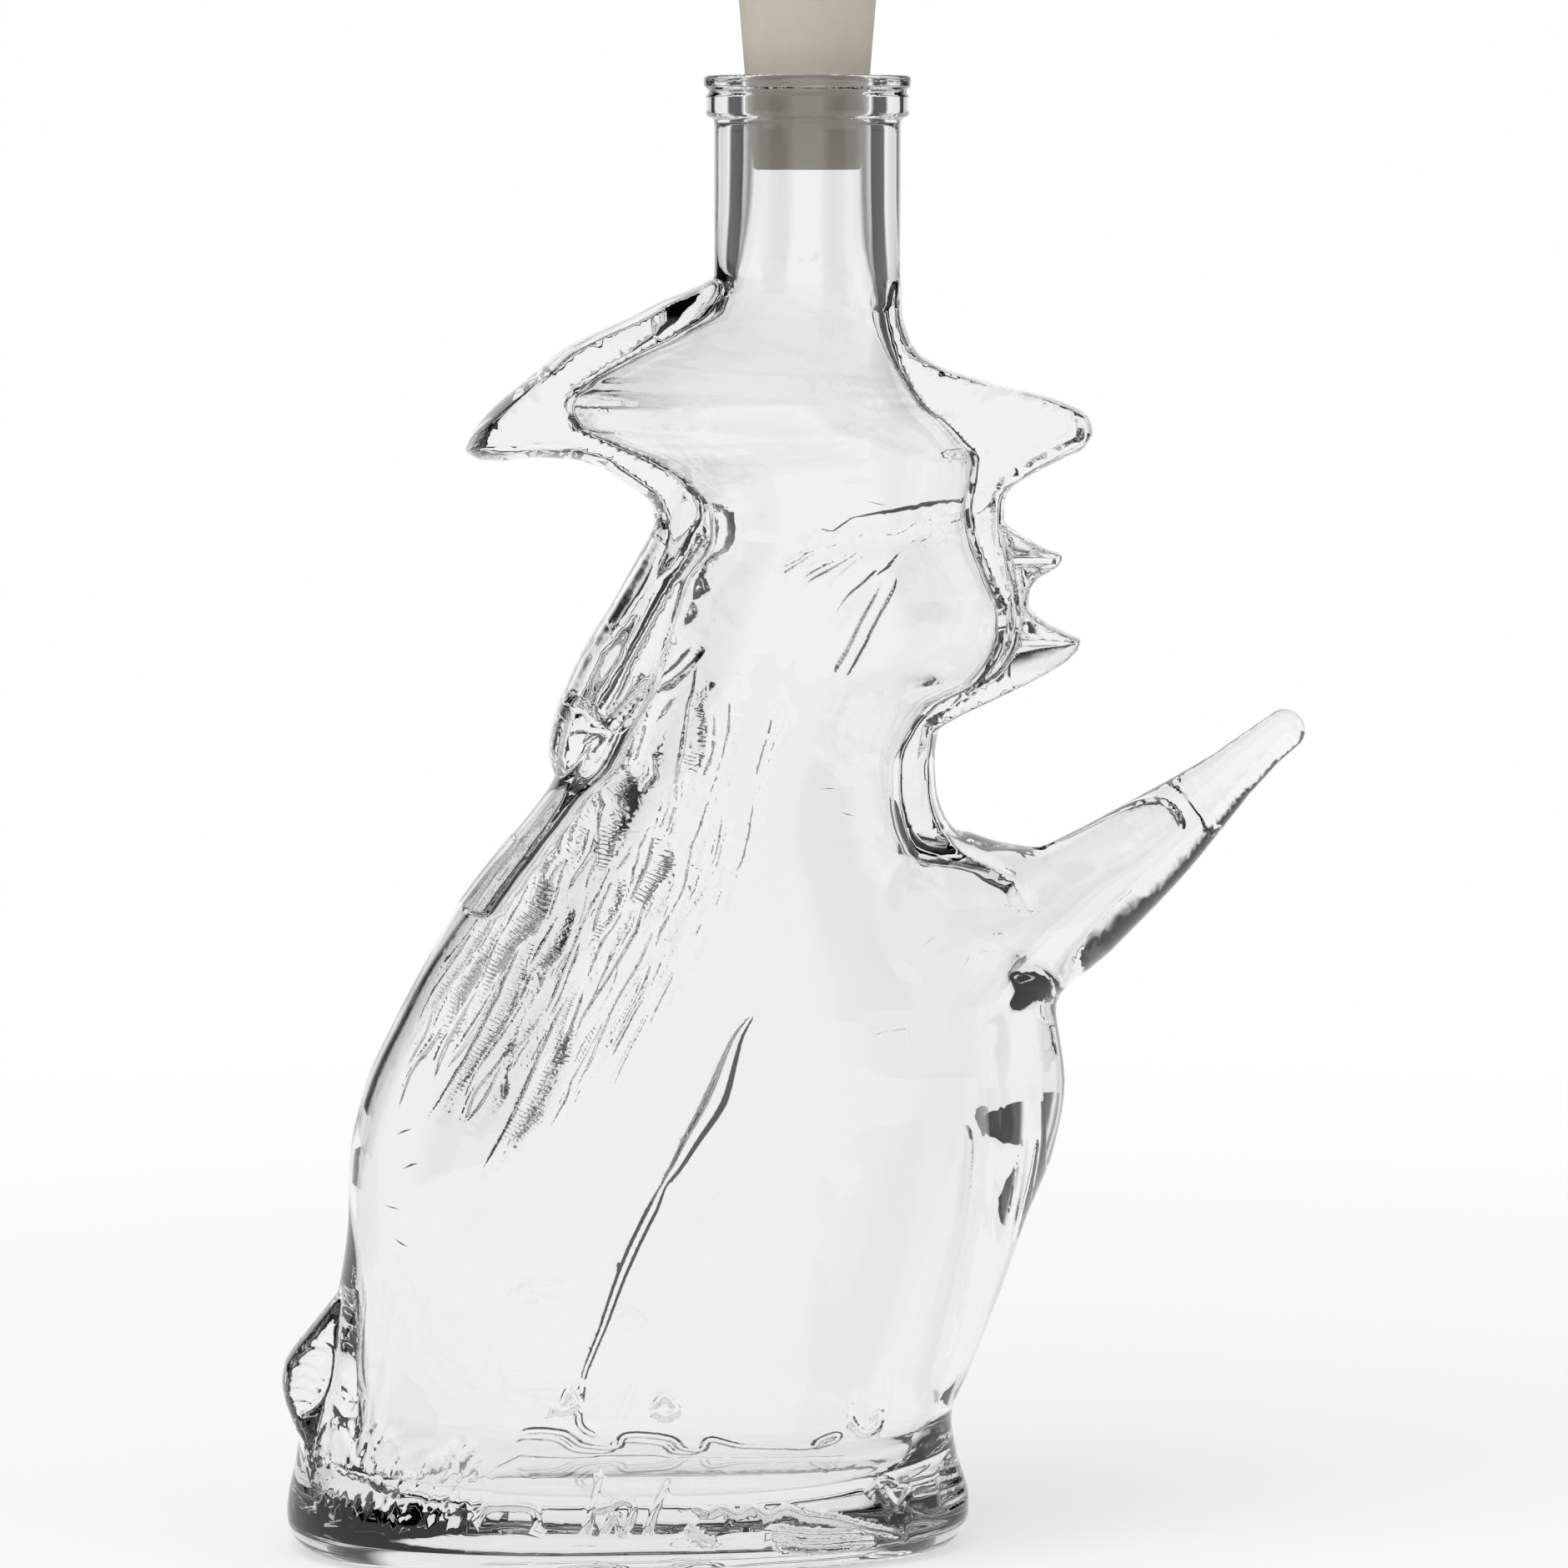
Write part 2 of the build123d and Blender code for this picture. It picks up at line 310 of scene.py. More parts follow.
@dataclass
class SideView:
    """The mould's parting plane: a fine grid over it, and the photograph's places on it.

    A form on it is a map of its squared half depth, below zero outside the form.
    """
    viewpoint: Viewpoint
    step: float = 0.2
    reach: tuple[float, float, float, float] = (-79.0, 79.0, -3.0, 221.0)

    # Power of the level slices' ovals, and where below the rim it gives way to plain ovals
    squareness: float = 2.7
    square_up_to: float = 46.0
    oval_from: float = 31.0

    # Slabs: rise of the map for each millimetre in from an end, and how much of it is rounded
    edge: float = 60.0
    rounding: float = 30.0

    # How fast a map drops above and below its rows, and its value where there is nothing
    fall: float = 90.0
    nothing: float = -1e4

    # Half depth of a slice whose row gives none, and the length of a step along a limb
    plate: float = 10.0
    stride: float = 1.2

    def __post_init__(self) -> None:
        """Work out the scale and lay out the grid."""
        self.rim, self.neck_axis = self.viewpoint.rim, self.viewpoint.neck_axis
        self.scale = self.viewpoint.distance / self.viewpoint.focal
        x_low, x_high, z_low, z_high = self.reach
        self.x = np.arange(x_low, x_high + self.step / 2, self.step)
        self.z = np.arange(z_low, z_high + self.step / 2, self.step)
        self.across, self.up = np.meshgrid(self.x, self.z, indexing="ij")

    def place(self, points: Rows) -> Array:
        """Place rows on the parting plane.

        Args:
            points: Rows that start with a pixel's place.

        Returns:
            The rows, with places across and up in millimetres.
        """
        table = np.array(points, float)
        table[:, :2] = self.viewpoint.sighted(table[:, :2])
        return table

    def place_on(self, points: Rows, depth: Array) -> Array:
        """Turn rows into millimetres where their sight lines meet the glass's skin.

        Args:
            points: Rows that start with a pixel's place.
            depth: Map of how far the skin lies behind the parting plane.

        Returns:
            The rows, with places across and up in millimetres.
        """
        table = np.array(points, float)
        pixels, found = table[:, :2].copy(), self.viewpoint.sighted(table[:, :2])
        for _ in range(3):
            i, k = self.cell(found[:, 0], found[:, 1])
            found = self.viewpoint.sighted(pixels, depth[i, k])
        table[:, :2] = found
        return table

    def cell(self, across: Array, up: Array) -> tuple[Array, Array]:
        """Find the grid's lines nearest to places in millimetres.

        Args:
            across: Places across.
            up: Heights.

        Returns:
            Numbers of the lines across and up.
        """
        i = np.clip(np.round((across - self.x[0]) / self.step).astype(int), 0, len(self.x) - 1)
        k = np.clip(np.round((up - self.z[0]) / self.step).astype(int), 0, len(self.z) - 1)
        return i, k

    def slices(self, rows: Rows) -> tuple[Array, ...]:
        """Read a table of level slices.

        Args:
            rows: Height, left end and right end in pixels, and perhaps half depth in millimetres.

        Returns:
            The heights and half depths of the slices, and for each height of the grid, that
            height held within the slices and their left and right ends there.
        """
        table = np.array(sorted(((*row, self.plate)[:4] for row in rows), reverse=True), float)
        ends = [self.place(table[:, [k, 0]]) for k in (1, 2)]
        heights = (ends[0][:, 1] + ends[1][:, 1]) / 2
        level = np.clip(self.z, heights[0], heights[-1])
        left, right = (curve_through(heights, end[:, 0], level) for end in ends)
        return heights, table[:, 3], level, left, right

    def level_form(self, rows: Rows, fall: float | None = None) -> Array:
        """Draw a form of level oval slices.

        Args:
            rows: The slices.
            fall: How fast the map drops above and below them, where that isn't the usual.

        Returns:
            The form's map.
        """
        heights, depths, level, left, right = self.slices(rows)
        depth = curve_through(heights, depths, level)
        share = (self.across - (left + right) / 2) / ((right - left) / 2)
        power = np.interp(level, [self.rim - self.square_up_to, self.rim - self.oval_from],
                          [self.squareness, 2.0])
        drop = (self.fall if fall is None else fall) * np.abs(self.z - level)
        return depth ** 2 * (1 - np.abs(share) ** power) - drop

    def slab(self, rows: Rows) -> Array:
        """Draw a form of level slices with flat faces and steep edges.

        Args:
            rows: The slices.

        Returns:
            The form's map.
        """
        heights, depths, level, left, right = self.slices(rows)
        face = curve_through(heights, depths ** 2, level)
        sides = -joined((self.across - right) * self.edge, (left - self.across) * self.edge,
                        self.rounding)
        return -joined(-sides, -face, self.rounding) - self.fall * np.abs(self.z - level)

    def lobe(self, rows: Rows, flatness: float = 1.0) -> Array:
        """Draw a limb with round ends.

        Args:
            rows: Place and half width in pixels, and half depth in millimetres, along the limb.
            flatness: One for a round limb, and more for one with flat faces.

        Returns:
            The limb's map.
        """
        path = swept_points(self.place(rows), self.stride)
        form = np.full(self.across.shape, self.nothing)
        for x, z, half_width, depth in path:
            width = half_width * self.scale
            away = ((self.across - x) ** 2 + (self.up - z) ** 2) / width ** 2
            np.maximum(form, depth ** 2 * (1 - away ** flatness), out=form)
        return form

    def turned_form(self, radii: Rows) -> Array:
        """Draw a form turned about the neck's axis.

        Args:
            radii: Heights and radii in millimetres.

        Returns:
            The form's map.
        """
        table = np.asarray(radii, float)
        radius = np.interp(self.z, table[:, 0], table[:, 1])
        return radius ** 2 - (self.across - self.neck_axis) ** 2

    def above(self, line: Rows) -> Array:
        """Draw what lies above a line of pixels, with an edge as steep as a slab's."""
        table = self.place(line)
        return (self.up - np.interp(self.across, table[:, 0], table[:, 1])) * self.edge


@dataclass
class MouldWork:
    """The lines cut in one half of the glass, kept as heights below zero on its plain skin.

    The far half holds most of them. There the flank of a line turns the light back inside the
    glass, which makes the line as black as it is in the photograph.
    """
    view: SideView
    skin: Array
    heights: Array = field(init=False)

    # How far a groove and a lapped line reach to each side, and a lapped line's gentle side,
    # in half widths
    groove_reach: float = 2.0
    lap_reach: float = 6.5
    gentle_side: float = 3.0

    # Steepest slope of a groove of depth one and half width one, the least share of its width
    # that a line keeps, the length of a step in half widths, and how bluntly its ends thin out
    unit_slope: float = 1.52
    least_share: float = 0.05
    stride: float = 0.6
    end_power: float = 0.7

    def __post_init__(self) -> None:
        """Start from a plain mould."""
        self.heights = np.zeros(self.view.across.shape)

    def line(self, points: Rows, width: float, slope: float,
             stroke: Stroke = Stroke.GROOVE, taper: float = 0.25) -> None:
        """Cut one line, which thins out at both ends.

        Args:
            points: Places in pixels, with the share of the full width there as a third value.
            width: Half width in pixels.
            slope: Greatest slope of its flanks. Past 0.9, the far half's line looks black.
            stroke: Whether both of its sides are steep.
            taper: Share of the length over which each end thins out.
        """
        x_grid, z_grid, step = self.view.x, self.view.z, self.view.step
        rows = [row if len(row) > 2 else (*row, 1.0) for row in points]
        path = swept_points(self.view.place_on(rows, self.skin),
                            width * self.view.scale * self.stride)
        spread = self.lap_reach if stroke is Stroke.LAPPED else self.groove_reach
        margin = spread * max(row[2] for row in rows) * width * self.view.scale
        ends = path[:, :2].min(axis=0) - margin, path[:, :2].max(axis=0) + margin
        (i0, i1), (k0, k1) = ([int(np.clip((end[k] - grid[0]) / step, 0, len(grid)))
                               for end in ends] for k, grid in enumerate((x_grid, z_grid)))
        if i1 <= i0 or k1 <= k0:
            return
        patch = np.zeros((i1 - i0, k1 - k0))
        nearest = np.full(patch.shape, 1e9)
        tangents = np.gradient(path[:, :2], axis=0)
        tangents /= np.maximum(np.hypot(*tangents.T), 1e-9)[:, None]
        for number, ((x, z, share), (tx, tz)) in enumerate(zip(path, tangents)):
            end = min(number + 0.5, len(path) - number - 0.5) / len(path)
            half = width * self.view.scale * max(share, self.least_share)
            depth = min(1.0, end / taper) ** self.end_power * slope * half / self.unit_slope
            reach = int(spread * half / step) + 1
            ci, ck = int((x - x_grid[0]) / step) - i0, int((z - z_grid[0]) / step) - k0
            a0, a1 = max(ci - reach, 0), min(ci + reach + 1, patch.shape[0])
            b0, b1 = max(ck - reach, 0), min(ck + reach + 1, patch.shape[1])
            if a0 >= a1 or b0 >= b1:
                continue
            dx = (x_grid[i0 + a0:i0 + a1, None] - x) / half
            dz = (z_grid[None, k0 + b0:k0 + b1] - z) / half
            near = dx * dx + dz * dz
            window = patch[a0:a1, b0:b1]
            if stroke is Stroke.LAPPED:
                beyond, along = dz * tx - dx * tz, dx * tx + dz * tz
                fresh = depth * np.exp(-along ** 2) * np.where(
                    beyond < 0, np.exp(-beyond ** 4), np.exp(-(beyond / self.gentle_side) ** 2))
                closer = near < nearest[a0:a1, b0:b1]
                window[closer] = fresh[closer]
                nearest[a0:a1, b0:b1] = np.minimum(near, nearest[a0:a1, b0:b1])
            else:
                np.maximum(window, depth * np.exp(-near * near), out=window)
        cut = self.heights[i0:i1, k0:k1]
        np.minimum(cut, -patch, out=cut)

    def strands(self, guides: Sequence[Rows], count: int, width: tuple[float, float],
                slope: tuple[float, float], length: tuple[float, float], sway: float,
                seed: int) -> None:
        """Cut locks of hair between guide lines.

        Args:
            guides: Lines side by side, with the same number of points each.
            count: Number of locks.
            width: Least and greatest half width in pixels.
            slope: Least and greatest slope of their flanks.
            length: Least and greatest share of the guides' length that a lock takes.
            sway: How far a lock wanders off its line, in pixels.
            seed: Seed of the draw.
        """
        draw = np.random.default_rng(seed)
        steps = 40
        table = np.array([[row[:2] for row in guide] for guide in guides], float)
        last = len(guides) - 1
        for number in range(count):
            where = (number + draw.uniform(0.2, 0.8)) / count * last
            index = min(int(where), last - 1)
            lane = table[index] + (table[index + 1] - table[index]) * (where - index)
            walk = np.linspace(0, len(lane) - 1, steps)
            rows = np.stack([np.interp(walk, np.arange(len(lane)), lane[:, k]) for k in (0, 1)], 1)
            share = draw.uniform(*length)
            start = draw.uniform(0, 1 - share)
            first, last_row = int(start * (steps - 1)), int((start + share) * (steps - 1))
            rows = rows[first:max(last_row, first + 4)]
            turn = draw.uniform(0, 2 * math.pi)
            waves = draw.uniform(1.0, 2.2)
            rows[:, 0] += sway * np.sin(np.linspace(0, waves * 2 * math.pi, len(rows)) + turn)
            thick = 0.75 + 0.25 * np.sin(np.linspace(0, 9, len(rows)) + turn)
            # Every second lock is a plain groove, which looks narrower than a lapped one
            stroke, narrow = (Stroke.LAPPED, 1.0) if number % 2 else (Stroke.GROOVE, 0.72)
            self.line(np.column_stack([rows, thick])[::3].tolist(), narrow * draw.uniform(*width),
                      draw.uniform(*slope), stroke, taper=0.3)


@dataclass(frozen=True)
class FlintGlass:
    """Clear soda-lime flint glass, blown in a mould and fire-polished."""
    name: str = "flint_glass_fire_polished"
    index: float = 1.52
    skin_tint: str = "#F9F9F9"
    thick_tint: str = "#DFE3E3"
    tint_per_metre: float = 14.0
    chill_wave: float = 14.0
    chill_depth: float = 0.00006

    def material(self) -> bpy.types.Material:
        """Make the glass: bright and clear, with slow waves where the mould chilled it.

        Returns:
            The material.
        """
        material, tree = new_material(self.name)
        place = add_node(tree, "TexCoord")
        wave = add_node(tree, "TexNoise", Vector=place.outputs["Object"],
                        Scale=1 / (self.chill_wave * MILLIMETRE), Detail=1.0, Roughness=0.4)
        bump = add_node(tree, "Bump", Strength=1.0, Distance=self.chill_depth, Height=wave)
        polish = add_node(tree, "MapRange", Value=wave, From_Min=0.3, From_Max=0.7, To_Min=0.0,
                          To_Max=0.012)
        body = add_node(tree, "BsdfPrincipled", Base_Color=linear_colour(self.skin_tint),
                        Transmission_Weight=1.0, IOR=self.index, Roughness=polish, Normal=bump)
        depth = add_node(tree, "VolumeAbsorption", Color=linear_colour(self.thick_tint),
                         Density=self.tint_per_metre)
        add_node(tree, "OutputMaterial", Surface=body, Volume=depth)
        return material


@dataclass(frozen=True)
class MouldedElastomer:
    """Stone-grey thermoplastic elastomer, as it leaves its mould."""
    name: str = "thermoplastic_elastomer_moulded"
    colour: str = "#C6BEB1"
    shade: str = "#BAB2A5"
    mottle: float = 2.4
    grit: float = 0.35

    def material(self) -> bpy.types.Material:
        """Make the stopper's skin: dull and even, with a very fine grit and faint clouding.

        Returns:
            The material.
        """
        material, tree = new_material(self.name)
        place = add_node(tree, "TexCoord")
        cloud = add_node(tree, "TexNoise", Vector=place.outputs["Object"],
                         Scale=1 / (self.mottle * MILLIMETRE), Detail=4.0, Roughness=0.6)
        tone = add_node(tree, "Mix", {"data_type": "RGBA"}, Factor=cloud,
                        in6=linear_colour(self.colour), in7=linear_colour(self.shade))
        grit = add_node(tree, "TexNoise", Vector=place.outputs["Object"],
                        Scale=1 / (self.grit * MILLIMETRE), Detail=2.0)
        bump = add_node(tree, "Bump", Strength=0.35, Distance=0.00004, Height=grit)
        dull = add_node(tree, "MapRange", Value=cloud, To_Min=0.55, To_Max=0.7)
        body = add_node(tree, "BsdfPrincipled", Base_Color=tone.outputs[2], Roughness=dull, IOR=1.5,
                        Normal=bump)
        add_node(tree, "OutputMaterial", Surface=body)
        return material


@dataclass(frozen=True)
class MattPaper:
    """Matt white studio paper."""
    name: str = "matt_studio_paper"
    colour: str = "#F7F7F7"
    fibre: float = 1.5
    near_glow: float = 0.55
    glass_glow: float = 0.9
    near_reach: float = 0.10
    far_reach: float = 0.55

    def material(self) -> bpy.types.Material:
        """Make the paper: lit like paper at the foot, and plain white further off.

        Returns:
            The material.
        """
        material, tree = new_material(self.name)
        place = add_node(tree, "TexCoord")
        fibre = add_node(tree, "TexNoise", Vector=place.outputs["Object"],
                         Scale=1 / (self.fibre * MILLIMETRE), Detail=3.0)
        bump = add_node(tree, "Bump", Strength=0.1, Distance=0.00003, Height=fibre)
        sheet = add_node(tree, "BsdfPrincipled", Base_Color=linear_colour(self.colour),
                         Roughness=0.9, Normal=bump)
        white = add_node(tree, "Emission", Color=(1, 1, 1, 1), Strength=1.0)
        away = add_node(tree, "VectorMath", {"operation": "LENGTH"}, in0=place.outputs["Object"])
        glow = add_node(tree, "MapRange", {"interpolation_type": "SMOOTHSTEP"},
                        Value=away.outputs["Value"], From_Min=self.near_reach,
                        From_Max=self.far_reach, To_Min=self.near_glow, To_Max=1.0)
        rays = add_node(tree, "LightPath")
        mirrored = add_node(tree, "Math", {"operation": "MAXIMUM"},
                            in0=rays.outputs["Is Glossy Ray"],
                            in1=rays.outputs["Is Transmission Ray"])
        seen = add_node(tree, "Math", {"operation": "MULTIPLY"}, in0=rays.outputs["Is Camera Ray"],
                        in1=glow)
        through = add_node(tree, "Math", {"operation": "MULTIPLY"}, in0=mirrored,
                           in1=self.glass_glow)
        share = add_node(tree, "Math", {"operation": "MAXIMUM"}, in0=seen, in1=through)
        skin = add_node(tree, "MixShader", Fac=share, in1=sheet, in2=white)
        add_node(tree, "OutputMaterial", Surface=skin)
        return material


@dataclass
class GlassWitch:
    """The bottle: a witch with a hat, a hood, an arm with a broomstick, and a broom at the foot."""
    view: SideView
    glass: FlintGlass = FlintGlass()

    # Thickness of the wall, and the half depth under which the mould's lines fade out
    wall: float = 3.4
    shallow: float = 5.0

    # Foot: its half depth, the heel's radius, the recess's height and easing, how far in from
    # the foot's edge the recess starts, and the height and rounding of the hollow's floor
    foot_depth: float = 26.0
    heel: float = 5.0
    recess: float = 1.2
    recess_easing: float = 0.8
    bearing: float = 10.5
    floor: float = 9.2
    floor_rounding: float = 5.0

    # Neck: its radius, and how far below the rim it runs clear of the figure and ends in it
    neck_radius: float = 13.6
    neck_clear: float = 26.0
    neck_end: float = 33.5
    lip_easing: float = 0.7
    mouth_easing: float = 0.7

    # Hollow: how fast its map drops past its ends, and the least share of the wall it leaves
    hollow_fall: float = 5.0
    least_wall: float = 0.8

    # Mesh: its cell, then half width, half depth, bottom and top of its grid, the flatness at
    # which it is thinned out, and the least squared slope that brings a point onto the skin
    voxel: float = 0.6
    span: tuple[float, float, float, float] = (77.4, 28.8, -1.4, 218.2)
    flat_enough: float = 0.02
    least_slope: float = 0.05

    # Where it is divided again: by a line's slope, or by the map's slope at the edge of a plate
    # this shallow and this far below the rim, for points this close to the skin
    fine_slope: float = 0.45
    sharp_edge: float = 30.0
    plate_depth: float = 9.0
    plate_down_to: float = 113.0
    skin_gap: float = 1.2

    # Skirt and bust, then the flat head, hat and face as level slices: height, left end and
    # right end in pixels, and half depth in millimetres, where it isn't the plates' usual one
    figure: Rows = (
        (1850, 345, 1161, 26), (1800, 344, 1161, 26), (1740, 355, 1146, 25.6),
        (1700, 362, 1140, 25.6), (1640, 385, 1163, 26), (1540, 406, 1202, 26.6),
        (1460, 417, 1230, 26.9), (1380, 420, 1262, 27), (1300, 437, 1276, 26.8),
        (1220, 473, 1266, 26.2), (1140, 516, 1256, 24.8), (1080, 551, 1244, 22.6),
        (1045, 577, 1226, 20), (1020, 597, 1180, 17), (1000, 614, 1150, 14),
    )
    head: Rows = (
        (1080, 551, 1244, 13), (1045, 577, 1226, 12.8), (1028, 591, 1196, 12.6),
        (1014, 603, 1166, 12.4), (998, 616, 1147, 12), (975, 635, 1131, 11.6), (945, 657, 1122, 11),
        (910, 676, 1120, 10.6), (880, 692, 1123, 10.2), (850, 705, 1138), (830, 715, 1160),
        (800, 727, 1204), (765, 740, 1222), (730, 752, 1226), (690, 768, 1218), (660, 778, 1210),
        (640, 782, 1206), (620, 784, 1203), (600, 778, 1204), (580, 762, 1212), (560, 736, 1225),
        (540, 700, 1235), (500, 690, 1240),
    )
    hat: Rows = (
        (600, 640, 1240), (552, 562, 1288), (540, 558, 1297), (520, 566, 1309), (500, 580, 1304),
        (480, 600, 1267), (460, 624, 1190), (440, 650, 1130), (420, 673, 1098),
        (400, 711, 1088, 9.8), (380, 756, 1082, 9.2), (362, 790, 1079, 8), (348, 826, 1078, 6.4),
        (338, 846, 1076, 4.6),
    )
    face: Rows = (
        (874, 1040, 1120), (857, 1040, 1148), (840, 1050, 1182, 9.8), (826, 1050, 1212, 9.6),
        (812, 1060, 1240, 9.2), (800, 1060, 1262, 8.8), (788, 1070, 1280, 8), (776, 1080, 1291, 7),
        (767, 1080, 1294, 6.6), (758, 1080, 1277, 7.2), (748, 1070, 1257, 8),
        (735, 1060, 1240, 8.8), (720, 1060, 1232, 9), (704, 1060, 1235, 8.4),
        (692, 1070, 1243, 7.4), (684, 1080, 1257, 6.4), (675, 1090, 1270, 5.2),
        (666, 1090, 1273, 5.2), (657, 1080, 1252, 6.6), (640, 1070, 1224, 8.4),
        (622, 1060, 1202, 9.6), (604, 1050, 1198), (585, 1050, 1204), (566, 1050, 1234),
        (540, 1050, 1238),
    )

    # Underside of the brim, where the hat is cut off: places in pixels
    brim_under: Rows = (
        (520, 520), (556, 541), (575, 551), (600, 553), (645, 548), (690, 551), (725, 562),
        (780, 600), (1160, 600), (1200, 591), (1235, 569), (1270, 551), (1295, 540), (1312, 517),
        (1330, 480),
    )

    # Limbs: place and half width in pixels, and half depth in millimetres
    arm: Rows = (
        (1130, 1110, 112, 15), (1200, 1110, 100, 13.6), (1262, 1094, 80, 11.2),
        (1320, 1056, 68, 8.8), (1380, 1010, 56, 7), (1428, 970, 44, 5.4), (1472, 932, 33, 4.1),
        (1512, 897, 27, 3.4), (1540, 875, 25, 3.1),
    )
    hood: Rows = (
        (880, 556, 44, 10), (852, 612, 58, 10.6), (834, 664, 60, 11.2), (798, 738, 64, 11.6),
        (756, 806, 64, 11.6), (722, 862, 56, 10.8), (700, 896, 42, 9.4), (690, 912, 30, 7.4),
    )
    broom: Rows = (
        (418, 1546, 8, 4), (404, 1580, 18, 5), (391, 1612, 28, 6.2), (375, 1650, 38, 7.4),
        (380, 1684, 34, 7.8), (392, 1714, 34, 8.6), (400, 1760, 40, 9.4),
    )

    # Hollow for the liquor, with what runs out of it into the sleeve and the hood
    hollow: Rows = (
        (1775, 440, 1085, 22), (1740, 420, 1104, 22.4), (1640, 424, 1130, 22.8),
        (1540, 432, 1160, 23.3), (1440, 430, 1184, 23.6), (1340, 441, 1200, 23.6),
        (1200, 499, 1198, 23), (1100, 555, 1150, 21.6), (1040, 597, 1122, 20.4),
        (1010, 622, 1100, 19.6), (980, 648, 1086, 19), (945, 678, 1079, 18.3),
        (910, 714, 1078, 17.8), (870, 734, 1094, 17.4), (840, 748, 1120, 17.2),
        (810, 760, 1172, 17.2), (770, 772, 1198, 17.2), (735, 782, 1203, 17.2),
        (690, 800, 1186, 17.2), (640, 832, 1166, 17.2), (605, 832, 1160, 18), (572, 808, 1166, 19),
        (548, 770, 1168, 20.4), (526, 722, 1150, 22), (506, 684, 1132, 22.8),
        (484, 674, 1106, 22.8), (458, 696, 1088, 21.2), (430, 740, 1075, 18.2),
        (400, 800, 1066, 14.6), (370, 850, 1058, 11.8), (330, 880, 1050, 10.2),
        (280, 888, 1045, 9.6), (230, 892, 1043, 9.25), (60, 893, 1043, 9.25),
    )
    sleeve: Rows = (
        (1080, 1130, 110, 15), (1150, 1116, 92, 12), (1230, 1084, 62, 8.4), (1300, 1046, 44, 5.8),
        (1360, 1010, 34, 4.6), (1396, 988, 22, 3),
    )
    tail: Rows = ((868, 640, 40, 9), (816, 722, 42, 11), (768, 796, 36, 10.4), (732, 846, 26, 8))

    # Lines that locks of hair follow, down the back and swept back from the brow, in pixels
    hair: tuple[Rows, ...] = (
        ((730, 870), (690, 925), (644, 998), (600, 1070), (552, 1150), (505, 1232), (468, 1310),
         (440, 1400)),
        ((760, 862), (728, 935), (690, 1010), (645, 1090), (600, 1170), (550, 1255), (505, 1335),
         (470, 1420)),
        ((800, 838), (775, 925), (742, 1015), (700, 1105), (655, 1190), (605, 1280), (560, 1365),
         (525, 1450)),
        ((850, 790), (835, 890), (808, 990), (770, 1090), (725, 1190), (675, 1290), (630, 1380),
         (590, 1460)),
        ((900, 755), (890, 850), (870, 950), (840, 1050), (800, 1150), (755, 1250), (705, 1340),
         (665, 1420)),
        ((945, 740), (940, 830), (925, 920), (900, 1010), (870, 1100), (835, 1180), (800, 1250),
         (760, 1330)),
    )
    sweep: tuple[Rows, ...] = (
        ((1225, 566), (1150, 588), (1080, 612), (1000, 625), (940, 655), (895, 690)),
        ((1220, 580), (1150, 606), (1085, 632), (1020, 655), (960, 690), (925, 730)),
        ((1180, 610), (1130, 640), (1090, 662), (1050, 700), (1015, 745), (985, 800)),
    )

    # Strokes of the hood, face, knee and arm, then the skirt's folds: places in pixels, half
    # width in pixels and slope
    strokes: tuple[tuple[Rows, float, float], ...] = (
        (((872, 604), (840, 640), (828, 690), (838, 722), (862, 704), (886, 660), (890, 620),
          (874, 604)), 6.0, 1.8),
        (((836, 736), (812, 760), (790, 786)), 13.0, 1.0),
        (((768, 688), (742, 726), (722, 760)), 9.0, 1.1),
        (((764, 752), (740, 794), (712, 836), (704, 858)), 12.0, 1.4),
        (((704, 862), (734, 868), (754, 846), (764, 812)), 7.0, 2.0),
        (((848, 776), (826, 806), (800, 828), (768, 848), (734, 872), (708, 902)), 7.0, 2.2),
        (((1093, 648), (1070, 680), (1046, 734), (1022, 782), (1004, 814)), 9.0, 1.3),
        (((1222, 1352), (1218, 1400), (1202, 1452)), 7.0, 2.2),
        (((1264, 1356), (1250, 1400), (1226, 1456)), 7.0, 2.2),
        (((1150, 1138), (1192, 1134), (1180, 1172), (1150, 1160)), 4.0, 0.6),
        (((1063, 1242), (1112, 1238), (1118, 1250), (1122, 1270)), 4.0, 0.9),
        (((1396, 1040), (1350, 1080), (1300, 1124), (1268, 1156)), 9.0, 0.5),
        (((1404, 938), (1424, 966), (1442, 1002)), 5.0, 0.9),
    )
    folds: tuple[tuple[Rows, float, float], ...] = (
        (((770, 1312), (720, 1380), (670, 1450), (620, 1544)), 5.0, 0.4),
        (((707, 1356), (635, 1410), (570, 1470), (530, 1560), (476, 1638)), 6.0, 0.5),
        (((601, 1419), (575, 1490), (551, 1550), (476, 1638)), 5.0, 0.45),
        (((914, 1350), (870, 1420), (832, 1487), (782, 1600)), 5.0, 0.4),
        (((1010, 1400), (1000, 1500), (985, 1600)), 12.0, 0.25),
        (((438, 1440), (424, 1500), (418, 1580), (420, 1650)), 6.0, 0.6),
    )

